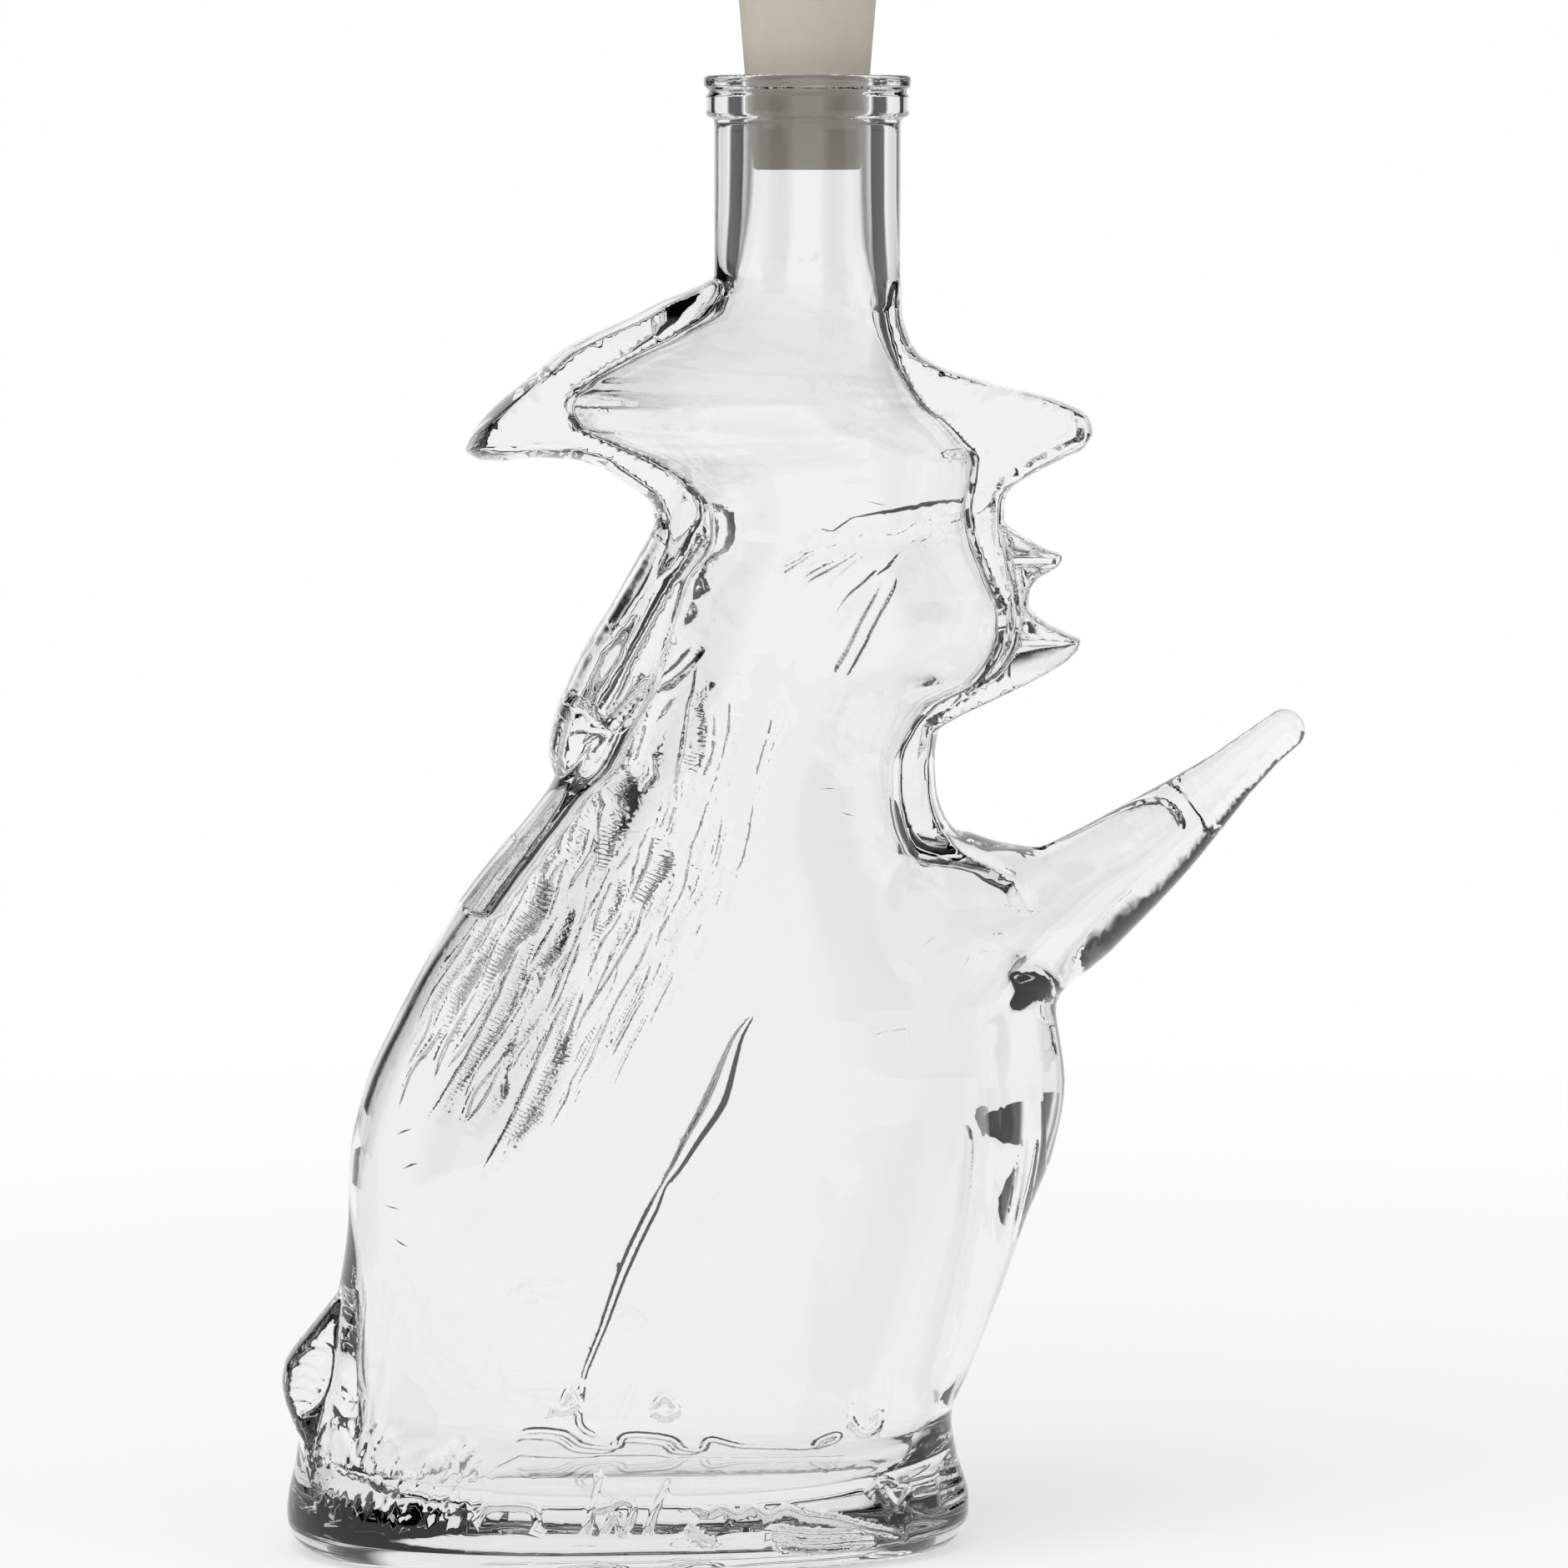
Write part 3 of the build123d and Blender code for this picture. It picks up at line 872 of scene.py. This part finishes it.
    # Places in pixels of the other lines, with a share of the width where there is a third value
    slit: Rows = (
        (907, 1211, 0.3), (886, 1243, 1.5), (872, 1278, 2.6), (858, 1316, 3.4), (834, 1358, 2.6),
        (814, 1392, 1.8), (796, 1418, 0.9), (782, 1448, 1.6), (757, 1500, 1.6), (739, 1544, 1.4),
        (723, 1587, 1.1), (704, 1631, 0.9), (695, 1662, 0.6),
    )
    slit_foot: Rows = ((697, 1656), (692, 1690), (696, 1708), (712, 1722))
    hem: Rows = (
        (618, 1724), (632, 1715), (673, 1717), (695, 1737), (720, 1745), (739, 1741), (751, 1720),
        (801, 1725), (817, 1746), (839, 1750), (851, 1727), (889, 1740), (945, 1745), (976, 1749),
        (984, 1731), (1004, 1716), (1003, 1733), (982, 1754),
    )
    base_line: Rows = (
        (589, 1762), (695, 1772), (720, 1766), (782, 1766), (807, 1778), (832, 1775), (1032, 1786),
    )
    ground_shapes: tuple[Rows, ...] = (
        ((570, 1826), (578, 1812), (592, 1806), (638, 1809), (648, 1834)),
        ((720, 1768), (712, 1800), (704, 1832)), ((800, 1780), (786, 1808), (776, 1836)),
        ((706, 1812), (730, 1806), (744, 1798), (760, 1806), (752, 1830)),
        ((724, 1834), (738, 1818), (746, 1840)),
        ((672, 1688), (682, 1668), (690, 1684), (676, 1692), (664, 1688)),
        ((782, 1690), (796, 1674), (812, 1690), (798, 1698), (784, 1692)),
        ((1020, 1664), (1020, 1700), (1036, 1718), (1052, 1712), (1056, 1694), (1044, 1700)),
        ((1048, 1778), (1064, 1800), (1058, 1784), (1076, 1806), (1090, 1788)),
        ((1040, 1790), (1056, 1776), (1072, 1778)),
        ((1130, 1762), (1152, 1750)), ((1128, 1778), (1156, 1762)), ((1130, 1794), (1158, 1778)),
        ((1134, 1808), (1158, 1794)),
        ((829, 1806), (850, 1814), (866, 1808), (884, 1816), (902, 1809), (922, 1817), (944, 1810),
         (968, 1818), (1000, 1822), (1040, 1832), (1088, 1842)),
        ((828, 1834), (842, 1846), (854, 1850)),
    )
    knob: Rows = (
        (352, 1617), (378, 1612), (397, 1620), (399, 1645), (392, 1668), (378, 1688), (362, 1696),
    )
    dark_bars: tuple[Rows, ...] = (
        ((928, 1836), (975, 1842), (1030, 1840)), ((932, 1850), (980, 1854), (1044, 1848)),
    )

    def lip_radii(self) -> list[Row]:
        """List the outline of the neck and its two beads.

        Returns:
            Heights and radii in millimetres.
        """
        steps = (
            (-40.0, self.neck_radius), (-6.9, self.neck_radius), (-6.3, 13.8), (-6.1, 14.5),
            (-5.6, 14.85), (-3.1, 14.85), (-2.6, 14.5), (-2.3, 14.3), (-2.1, 14.5),
            (-1.7, 15.05), (-self.lip_easing, 15.15), (4.0, 15.15),
        )
        return [(self.view.rim + up, radius) for up, radius in steps]

    def outer_map(self) -> Array:
        """Draw the outside of one mould half.

        Returns:
            Map of the squared half depth.
        """
        view = self.view
        hat = -joined(-view.slab(self.hat), -view.above(self.brim_under), view.rounding)
        # The crown lies a wall outside the hollow, so that the glass there bends light little
        crown = view.level_form(self.hollow, self.hollow_fall)
        crown = np.where(crown > 0, (np.sqrt(np.maximum(crown, 0.0)) + self.wall) ** 2, crown)
        form = view.level_form(self.figure)
        # Each part, and over how much of the map its crease with the ones before it is filled
        for part, crease in (
            (view.slab(self.head), 40.0), (hat, 6.0), (crown, 60.0), (view.slab(self.face), 6.0),
            (view.lobe(self.arm, 1.6), 140.0), (view.lobe(self.hood, 3.0), 30.0),
            (view.lobe(self.broom, 3.0), 14.0),
        ):
            form = joined(form, part, crease)
        neck = view.turned_form(self.lip_radii())
        past_end = view.rim - self.neck_end - view.up
        neck = np.where(past_end < 0, neck, neck - view.edge * past_end)
        return np.where(view.up > view.rim - self.neck_clear, neck, joined(form, neck, 40.0))

    def far_work(self, depth: Array) -> Array:
        """Cut the hair, the hood, the folds and the hem.

        Args:
            depth: Map of the plain half depth.

        Returns:
            Map of the lines' heights on the far half, in millimetres.
        """
        work = MouldWork(self.view, depth)
        # Guides, number of locks, half widths, slopes, shares of the length, sway and seed
        for locks in (
            (self.hair[:4], 44, (6.0, 9.5), (2.8, 3.8), (0.22, 0.55), 5.0, 11),
            (self.hair[2:5], 18, (5.0, 7.0), (2.4, 3.2), (0.14, 0.4), 4.0, 23),
            (self.hair[3:], 24, (4.2, 5.2), (1.6, 2.2), (0.2, 0.5), 4.0, 29),
            (self.sweep, 22, (4.6, 6.4), (1.9, 2.6), (0.3, 0.7), 3.0, 31),
        ):
            work.strands(*locks)
        for fold in self.folds:
            work.line(*fold, Stroke.LAPPED)
        for stroke in self.strokes:
            work.line(*stroke, taper=0.1)
        lower_hem = [(x - 10, y + 11) for x, y in self.hem[:11]]
        for *stroke, taper in (
            (self.slit, 3.6, 2.0, 0.03), (self.slit_foot, 4.4, 1.6, 0.1),
            (self.hem, 5.2, 2.2, 0.04), (lower_hem, 4.4, 1.6, 0.06),
            (self.base_line, 4.4, 1.5, 0.04),
        ):
            work.line(*stroke, taper=taper)
        # Ticks of the braid beside the face
        for number in range(6):
            x, y = 1072 - 11 * number, 678 + 24 * number
            work.line([(x - 7, y), (x, y - 5), (x + 6, y + 6)], width=3.6, slope=1.1)
        return work.heights

    def near_work(self, depth: Array) -> Array:
        """Cut the broom and the ornament round the foot.

        Args:
            depth: Map of the plain half depth.

        Returns:
            Map of the lines' heights on the near half, in millimetres.
        """
        work = MouldWork(self.view, -depth)
        self.cut_bristles(work)
        work.line(self.knob, width=4.4, slope=1.6, taper=0.05)
        for y in (1632, 1647, 1662, 1677):
            work.line([(344, y - 2), (366, y), (388, y + 10)], width=3.8, slope=1.0)
        for shape in self.ground_shapes:
            work.line(shape, width=4.2, slope=1.5, taper=0.1)
        for bar in self.dark_bars:
            work.line(bar, width=6.0, slope=2.4, taper=0.2)
        return work.heights

    def cut_bristles(self, work: MouldWork) -> None:
        """Cut the broom's bristles, which fan out from its binding over the foot's left end.

        Args:
            work: The mould's lines so far.
        """
        # Roots stand along the binding and tips along the foot's left end, in pixels
        draw = np.random.default_rng(47)
        count = 34
        for number in range(count):
            share = (number + draw.uniform(-0.4, 0.4)) / (count - 1)
            root = np.array([400 + 190 * share, 1686 + 48 * share])
            tip = np.array([352 + 190 * share ** 1.15, 1768 + 84 * share ** 0.5])
            from_root, to_tip = sorted(draw.uniform(0.0, 1.0, 2))
            to_tip = max(to_tip, from_root + 0.35)
            ends = [root + (tip - root) * part for part in (from_root, min(to_tip, 1.05))]
            bow = (ends[0] + ends[1]) / 2 + draw.uniform(-5.0, 1.0, 2)
            work.line([tuple(ends[0]), tuple(bow), tuple(ends[1])], draw.uniform(3.6, 4.8),
                      draw.uniform(1.0, 1.7), Stroke.LAPPED, 0.25)

    def hollow_map(self, outside: Array) -> Array:
        """Draw the hollow for the liquor, which leaves at least most of the wall everywhere.

        Args:
            outside: Map of the squared half depth of the plain outside.

        Returns:
            Map of the squared half depth.
        """
        view = self.view
        form = view.level_form(self.hollow, self.hollow_fall)
        for limb, crease in ((self.sleeve, 100.0), (self.tail, 20.0)):
            form = joined(form, view.lobe(limb), crease)
        room = np.sqrt(np.maximum(outside, 0.0)) - self.wall * self.least_wall
        return -joined(-form, -room * np.abs(room), 15.0)

    def draw_maps(self) -> None:
        """Draw the near half, the far half and the hollow with their slopes, and keep them."""
        self.maps = []
        plain = self.outer_map()
        depth = np.sqrt(np.maximum(plain, 0.0))
        fading = np.clip(depth / self.shallow, 0.0, 1.0)
        self.lines = [self.near_work(depth) * fading, self.far_work(depth) * fading]
        halves = [np.where(plain > 0, np.maximum(depth + lines, 0.0) ** 2, plain)
                  for lines in self.lines]
        for form in (*halves, self.hollow_map(plain)):
            slopes = np.gradient(form, self.view.step)
            self.maps.append(np.stack([form, *slopes], axis=-1).astype(np.float32))
        bottom, left, right, _ = self.figure[0]
        ends = self.view.place([(left, bottom), (right, bottom)])[:, 0]
        self.foot_middle, self.foot_half = ends.mean(), (ends[1] - ends[0]) / 2

    def distance(self, x: Array, y: Array, z: Array, outer: Array, inner: Array) -> Array:
        """Work out how far points lie from the glass.

        Args:
            x: Places across, in millimetres.
            y: Places in depth.
            z: Heights.
            outer: The outer map and its slopes at those places.
            inner: The hollow's map and its slopes at those places.

        Returns:
            Signed distance, below zero in the glass.
        """
        # One under the root keeps the distance finite where a map is level
        skin, hollow = (
            (y * y - form[..., 0])
            / np.sqrt(4 * y * y + form[..., 1] ** 2 + form[..., 2] ** 2 + 1.0)
            for form in (outer, inner)
        )
        recess_depth = self.foot_depth - self.bearing
        plan = np.hypot((x - self.foot_middle) / (self.foot_half - self.bearing), y / recess_depth)
        recess = np.maximum(z - self.recess, (plan - 1) * recess_depth)
        body = rounded_corner(skin, -z, self.heel)
        body = rounded_corner(body, z - self.view.rim, self.lip_easing)
        body = rounded_corner(body, -recess, self.recess_easing)
        hollow = rounded_corner(hollow, self.floor - z, self.floor_rounding)
        return rounded_corner(body, -hollow, self.mouth_easing)

    def at_points(self, points: Array) -> Array:
        """Work out the distance at loose points, from the maps read between their grid lines.

        Args:
            points: The points, in millimetres.

        Returns:
            Signed distance, below zero in the glass.
        """
        view = self.view
        i = np.clip((points[:, 0] - view.x[0]) / view.step, 0, len(view.x) - 1.001)
        k = np.clip((points[:, 2] - view.z[0]) / view.step, 0, len(view.z) - 1.001)
        i0, k0 = i.astype(int), k.astype(int)
        u, v = (i - i0)[:, None], (k - k0)[:, None]
        read = [
            (m[i0, k0] * (1 - u) + m[i0 + 1, k0] * u) * (1 - v)
            + (m[i0, k0 + 1] * (1 - u) + m[i0 + 1, k0 + 1] * u) * v for m in self.maps
        ]
        near, far, hollow = read
        outer = np.where(points[:, 1:2] < 0, near, far)
        return self.distance(points[:, 0], points[:, 1], points[:, 2], outer, hollow)

    def slope_at(self, points: Array) -> Array:
        """Work out which way the distance grows fastest at loose points.

        Args:
            points: The points, in millimetres.

        Returns:
            The distance's growth per millimetre along each axis.
        """
        small = 0.06
        return np.stack([
            self.at_points(points + offset) - self.at_points(points - offset)
            for offset in np.eye(3) * small], axis=1) / (2 * small)

    def onto_skin(self, points: Array) -> Array:
        """Bring loose points onto the glass's skin.

        Args:
            points: Points near the skin, in millimetres.

        Returns:
            The points on the skin.
        """
        reach = 0.5 * self.voxel
        for _ in range(3):
            gap, slope = self.at_points(points), self.slope_at(points)
            size = np.maximum((slope ** 2).sum(axis=1), self.least_slope)
            points = points - np.clip(gap / size, -reach, reach)[:, None] * slope
        return points

    def divide_finely(self, mesh: bpy.types.Mesh) -> None:
        """Divide the faces on steep lines and at the plates' edges, so that these stay crisp.

        Args:
            mesh: The glass's mesh, still in millimetres.
        """
        view = self.view
        body = bmesh.new()
        body.from_mesh(mesh)
        places = np.array([vert.co[:] for vert in body.verts])
        i, k = view.cell(places[:, 0], places[:, 2])
        marked = np.zeros(len(places), bool)
        for side, lines, form in zip((-1, 1), self.lines, self.maps):
            slopes = np.hypot(*np.gradient(lines, view.step))
            skin = np.sqrt(np.maximum(form[i, k, 0], 0.0))
            edge = np.hypot(form[i, k, 1], form[i, k, 2]) > self.sharp_edge
            edge &= (skin < self.plate_depth) & (places[:, 2] > view.rim - self.plate_down_to)
            fine = (slopes[i, k] > self.fine_slope) | edge
            marked |= fine & (np.abs(skin - side * places[:, 1]) < self.skin_gap)
        marked = marked.tolist()
        edges = [edge for edge in body.edges
                 if marked[edge.verts[0].index] or marked[edge.verts[1].index]]
        bmesh.ops.subdivide_edges(body, edges=edges, cuts=1, use_grid_fill=True)
        bmesh.ops.triangulate(body, faces=[face for face in body.faces if len(face.verts) > 4])
        body.to_mesh(mesh)
        body.free()

    def build(self) -> bpy.types.Object:
        """Turn the maps into one closed skin of glass.

        Returns:
            The bottle's object, in metres.
        """
        self.draw_maps()
        h = self.voxel
        band = 3 * h
        wide, deep, bottom, top = self.span
        x = np.arange(-wide, wide + h / 2, h)
        y = np.arange(0.0, deep + h / 2, h)
        z = np.arange(bottom, top + h / 2, h)
        near, far, inner = (m[np.ix_(*self.view.cell(x, z))][:, None] for m in self.maps)
        places = x[:, None, None], y[None, :, None], z[None, None, :]
        halves = [np.clip(self.distance(*places, outer, inner), -band, band).astype(np.float32)
                  for outer in (near, far)]
        block = np.ascontiguousarray(np.concatenate([halves[0][:, :0:-1], halves[1]], axis=1))
        grid = openvdb.FloatGrid()
        grid.background = band
        grid.copyFromArray(block)
        points, triangles, quads = grid.convertToPolygons(0.0, self.flat_enough)
        corner = np.array([x[0], -y[-1], z[0]])
        points = self.onto_skin(points.astype(float) * h + corner)
        faces = [tuple(face[::-1]) for face in (*quads.tolist(), *triangles.tolist())]
        piece = new_piece("witch_glass", points.tolist(), faces, self.glass.material())
        mesh = piece.data
        mesh.validate()
        self.divide_finely(mesh)
        points = np.empty(len(mesh.vertices) * 3)
        mesh.vertices.foreach_get("co", points)
        points = self.onto_skin(points.reshape(-1, 3))
        normals = self.slope_at(points)
        normals /= np.maximum(np.linalg.norm(normals, axis=1), 1e-9)[:, None]
        mesh.vertices.foreach_set("co", (points * MILLIMETRE).ravel())
        mesh.update()
        first = mesh.polygons[0]
        if Vector(normals[first.vertices[0]]).dot(first.normal) < 0:
            mesh.flip_normals()
        mesh.shade_smooth()
        mesh.normals_split_custom_set_from_vertices(normals.tolist())
        log.info("glass skin: %d points, %d faces", len(mesh.vertices), len(mesh.polygons))
        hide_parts(*frame["record"]["behaviour"]["bodies"]["bottle"])
        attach(piece, "bottle")
        return piece


@dataclass
class TaperedStopper:
    """The soft stopper that closes the neck. Lengths are in metres."""
    skin: MouldedElastomer = MouldedElastomer()
    easing: float = 0.0006
    sides: int = 144
    rings: int = 12

    # Shares of the top's radius at the lower end, and of an end's radius at its inner ring
    foot_share: float = 0.779
    flat_share: float = 0.6

    def build(self) -> bpy.types.Object:
        """Turn the stopper's half section about the neck's axis.

        Returns:
            The stopper's object.
        """
        low, high = (Vector(corner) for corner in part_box("stopper"))
        wide = (high.x - low.x) / 2
        narrow = wide * self.foot_share
        ease, rise = self.easing, high.z - low.z
        turns = [math.radians(angle) for angle in (0, 22.5, 45, 67.5, 90)]
        section = [
            (0.0, low.z), (narrow * self.flat_share, low.z),
            *((narrow - ease + ease * math.sin(a), low.z + ease - ease * math.cos(a))
              for a in turns),
            *((narrow + (wide - narrow) * k / self.rings, low.z + rise * k / self.rings)
              for k in range(1, self.rings)),
            *((wide - ease + ease * math.cos(a), high.z - ease + ease * math.sin(a))
              for a in turns),
            (wide * self.flat_share, high.z), (0.0, high.z),
        ]
        points, faces = turned_surface(section, self.sides, (low.x + high.x) / 2)
        piece = new_piece("stopper_body", points, faces, self.skin.material())
        piece.data.shade_smooth()
        log.info("stopper: %d faces", len(faces))
        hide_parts("stopper")
        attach(piece, "stopper")
        return piece


@dataclass
class Studio:
    """A white paper sweep, a bright room with dark flags in it, soft lamps and the camera."""
    view: SideView
    paper: MattPaper = MattPaper()
    paper_radius: float = 1.6
    paper_rings: int = 24
    paper_sides: int = 64
    ring_power: float = 1.6

    # Four dark flags and a canopy, with their angles in degrees, and how bright the room is
    # for what isn't glass
    flag_level: float = 0.03
    flag_turn: float = 45.0
    flag_half_width: float = 19.0
    flag_edge: float = 5.0
    canopy_height: float = 40.0
    canopy_edge: float = 8.0
    soft_level: float = 0.55

    def build_floor(self) -> bpy.types.Object:
        """Lay the paper that the decanter stands on, with its rings closer together inwards.

        Returns:
            The paper's object.
        """
        section = [(self.paper_radius * (ring / self.paper_rings) ** self.ring_power, 0.0)
                   for ring in range(self.paper_rings, -1, -1)]
        floor = new_piece("paper_floor", *turned_surface(section, self.paper_sides),
                          self.paper.material())
        return floor

    def build_room(self) -> None:
        """Light the room: white all round, with soft dark flags that the glass picks up."""
        world = bpy.data.worlds.new("bright_room")
        bpy.context.scene.world = world
        world.use_nodes = True
        tree = world.node_tree
        tree.nodes.clear()
        place = add_node(tree, "TexCoord")
        parts = add_node(tree, "SeparateXYZ", Vector=place.outputs["Generated"])
        turn = add_node(tree, "Math", {"operation": "ARCTAN2"}, in0=parts.outputs["Y"],
                        in1=parts.outputs["X"])
        square = add_node(tree, "Math", {"operation": "ADD"}, in0=turn,
                          in1=math.radians(self.view.viewpoint.yaw))
        folded = add_node(tree, "Math", {"operation": "PINGPONG"}, in0=square,
                          in1=math.radians(self.flag_turn))
        edge = self.flag_turn - self.flag_half_width
        flag = add_node(tree, "MapRange", {"interpolation_type": "SMOOTHSTEP"}, Value=folded,
                        From_Min=math.radians(edge - self.flag_edge),
                        From_Max=math.radians(edge + self.flag_edge), To_Min=1.0,
                        To_Max=self.flag_level)
        ends = [math.sin(math.radians(self.canopy_height + side * self.canopy_edge))
                for side in (-1, 1)]
        canopy = add_node(tree, "MapRange", {"interpolation_type": "SMOOTHSTEP"},
                          Value=parts.outputs["Z"], From_Min=ends[0], From_Max=ends[1], To_Min=1.0,
                          To_Max=self.flag_level)
        dark = add_node(tree, "Math", {"operation": "MULTIPLY"}, in0=flag, in1=canopy)
        rays = add_node(tree, "LightPath")
        seen = add_node(tree, "Math", {"operation": "MAXIMUM"}, in0=rays.outputs["Is Glossy Ray"],
                        in1=rays.outputs["Is Transmission Ray"])
        level = add_node(tree, "Mix", {"data_type": "FLOAT"}, Factor=seen, in2=1.0, in3=dark)
        soft = add_node(tree, "Math", {"operation": "MAXIMUM"}, in0=rays.outputs["Is Camera Ray"],
                        in1=seen)
        strength = add_node(tree, "Mix", {"data_type": "FLOAT"}, Factor=soft, in2=self.soft_level,
                            in3=level)
        light = add_node(tree, "Background", Color=(1, 1, 1, 1), Strength=strength)
        add_node(tree, "OutputWorld", Surface=light)

    def build_lamps(self) -> None:
        """Hang one large soft lamp overhead and a weaker one at each side."""
        # Name, place, diameter and watts
        for name, place, size, power in (
            ("overhead", (-0.35, -0.5, 1.3), 1.2, 9.0),
            ("left_fill", (-1.2, -0.6, 0.7), 0.9, 3.0),
            ("right_fill", (1.2, -0.5, 0.7), 0.9, 3.0),
        ):
            lamp = bpy.data.lights.new(name, "AREA")
            lamp.shape, lamp.size, lamp.energy = "DISK", size, power
            holder = bpy.data.objects.new(name, lamp)
            holder.location = place
            aim = Vector((0, 0, 0.1)) - Vector(place)
            holder.rotation_euler = aim.to_track_quat("-Z", "Y").to_euler()
            holder.visible_camera = False
            holder.visible_glossy = False
            holder.visible_transmission = False
            bpy.context.scene.collection.objects.link(holder)

    def build_camera(self) -> bpy.types.Object:
        """Stand the camera where the photograph was taken.

        Returns:
            The camera's object.
        """
        viewpoint = self.view.viewpoint
        data = bpy.data.cameras.new("photographer")
        data.sensor_width = 36.0
        data.lens = data.sensor_width * viewpoint.focal / viewpoint.image
        data.clip_end = 20.0
        camera = bpy.data.objects.new("photographer", data)
        bpy.context.scene.collection.objects.link(camera)
        camera.location = Vector(viewpoint.place * MILLIMETRE)
        camera.rotation_euler = Vector(viewpoint.forward).to_track_quat("-Z", "Y").to_euler()
        bpy.context.scene.camera = camera
        return camera


def main() -> None:
    """Build the studio, the glass and the stopper."""
    logging.basicConfig(level=logging.INFO, format="%(name)s: %(message)s")
    bpy.context.scene.view_settings.view_transform = "Standard"
    low, high = (Vector(corner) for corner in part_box("neck"))
    viewpoint = Viewpoint(rim=high.z / MILLIMETRE, neck_axis=(low.x + high.x) / 2 / MILLIMETRE)
    view = SideView(viewpoint)
    studio = Studio(view)
    studio.build_camera()
    studio.build_floor()
    studio.build_room()
    studio.build_lamps()
    GlassWitch(view).build()
    TaperedStopper().build()


if __name__ == "__main__":
    main()
